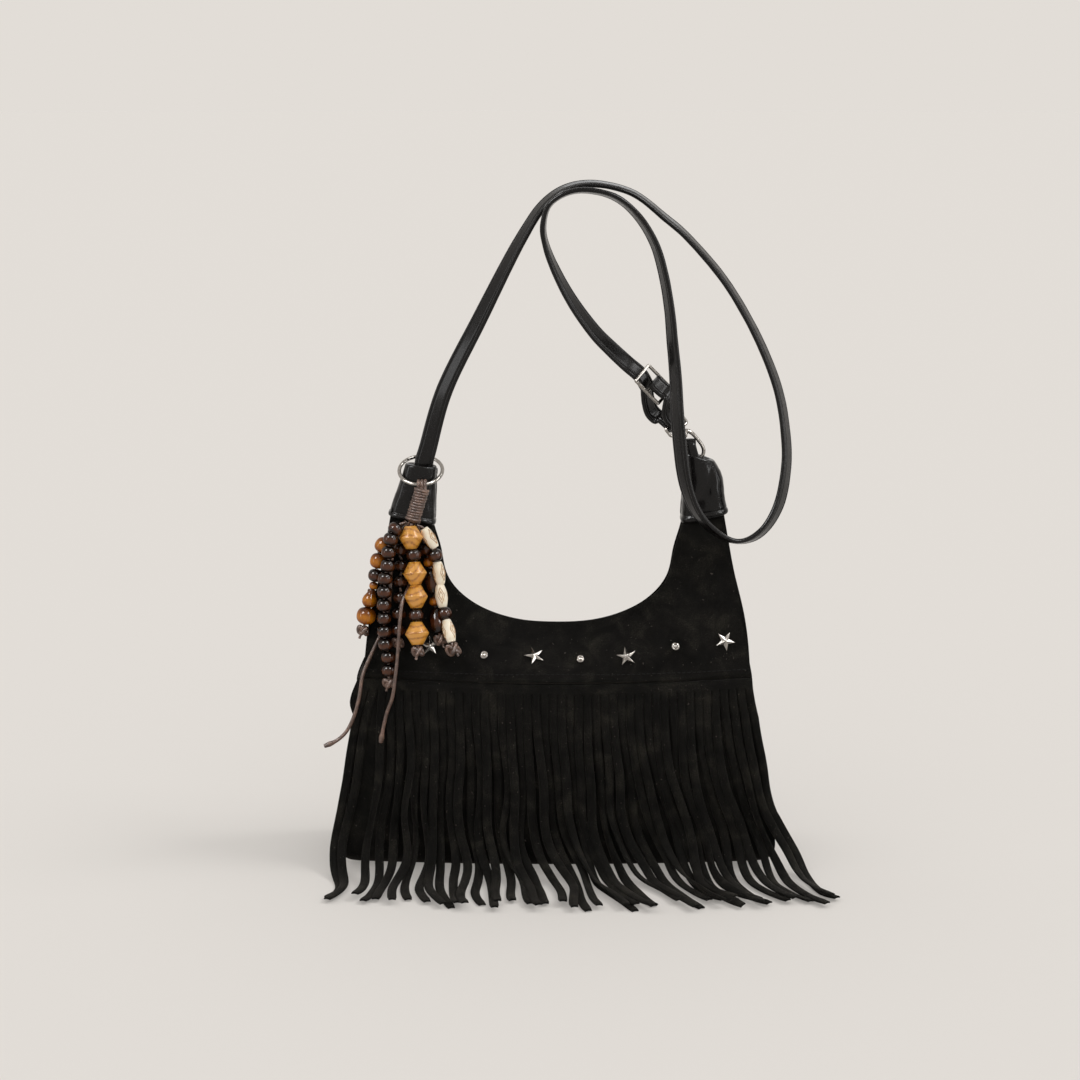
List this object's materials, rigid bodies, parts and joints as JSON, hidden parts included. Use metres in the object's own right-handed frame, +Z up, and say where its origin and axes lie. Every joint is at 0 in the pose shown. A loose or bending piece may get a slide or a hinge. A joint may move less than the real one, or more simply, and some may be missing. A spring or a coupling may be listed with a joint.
{
  "type": "shoulder bag",
  "caption": "Small shoulder bag of soft suede with a scooped mouth, a long fringe, leather caps, a slim looped strap and a bead charm on a ring.",
  "frame": {"origin": "middle of the flat base, on the surface that the bag stands on", "axes": "+Z up, -Y towards the front with the fringe and charm, +X to the right as seen from the front"},
  "size_m": [0.3116, 0.1475, 0.4344],
  "materials": {
    "suede": "black split suede, brushed nap, no gloss",
    "leather": "black smooth leather, fine grain, soft gloss",
    "lining_cloth": "black woven cotton lining",
    "nickel": "polished nickel plate",
    "cord": "waxed cord, dark reddish brown",
    "dark_wood": "dark brown lacquered wooden beads",
    "amber_wood": "amber brown lacquered wooden beads",
    "golden_wood": "golden orange wooden beads, satin",
    "bone": "cream bone beads with carved and stained diamonds"
  },
  "bodies": {
    "bag": {"front_yoke": "suede", "back_yoke": "suede", "front_panel": "suede", "back_panel": "suede", "gusset_left": "suede", "gusset_right": "suede", "base_panel": "suede", "fringe": "suede", "lining": "lining_cloth", "cap_left": "leather", "cap_right": "leather", "strap": "leather", "hook_loop": "leather", "slider": "nickel", "hook_eye": "nickel", "snap_socket": "nickel", "snap_stud": "nickel", "star_1": "nickel", "star_2": "nickel", "star_3": "nickel", "star_4": "nickel", "dome_1": "nickel", "dome_2": "nickel", "dome_3": "nickel"},
    "ring": {"ring": "nickel"},
    "charm": {"charm_wrap": "cord", "charm_loop": "cord", "strand_a": "dark_wood", "strand_c_cord": "cord", "strand_d_cord": "cord", "strand_e": "amber_wood", "strand_f": "dark_wood", "strand_g": "dark_wood", "bead_c1_gold": "golden_wood", "bead_c2_dark": "dark_wood", "bead_c3_gold": "golden_wood", "bead_c4_gold": "golden_wood", "bead_c5_dark": "dark_wood", "bead_c6_gold": "golden_wood", "bead_d1_bone": "bone", "bead_d2_dark": "dark_wood", "bead_d3_bone": "bone", "bead_d4_bone": "bone", "bead_d5_dark": "dark_wood", "bead_d6_bone": "bone", "tail_one": "cord", "tail_two": "cord"},
    "hook": {"hook_body": "nickel"},
    "gate": {"hook_gate": "nickel"}
  },
  "joints": [
    {"name": "ring_tilt", "type": "hinge", "parent": "bag", "child": "ring", "pos_m": [-0.0866, 0.01074, 0.25946], "axis": [-1, 0, 0], "range_deg": [0, 55]},
    {"name": "charm_swing", "type": "hinge", "parent": "ring", "child": "charm", "pos_m": [-0.0866, -0.01274, 0.24534], "axis": [-1, 0, 0], "range_deg": [0, 70]},
    {"name": "hook_swivel", "type": "hinge", "parent": "bag", "child": "hook", "pos_m": [0.0733, 0, 0.2832], "axis": [0.6248, 0, -0.7808], "range_deg": [-25, 25]},
    {"name": "gate_press", "type": "hinge", "parent": "hook", "child": "gate", "pos_m": [0.07561, 0, 0.27263], "axis": [0, -1, 0], "range_deg": [0, 16], "stiffness_Nm_per_rad": 0.01}
  ]
}
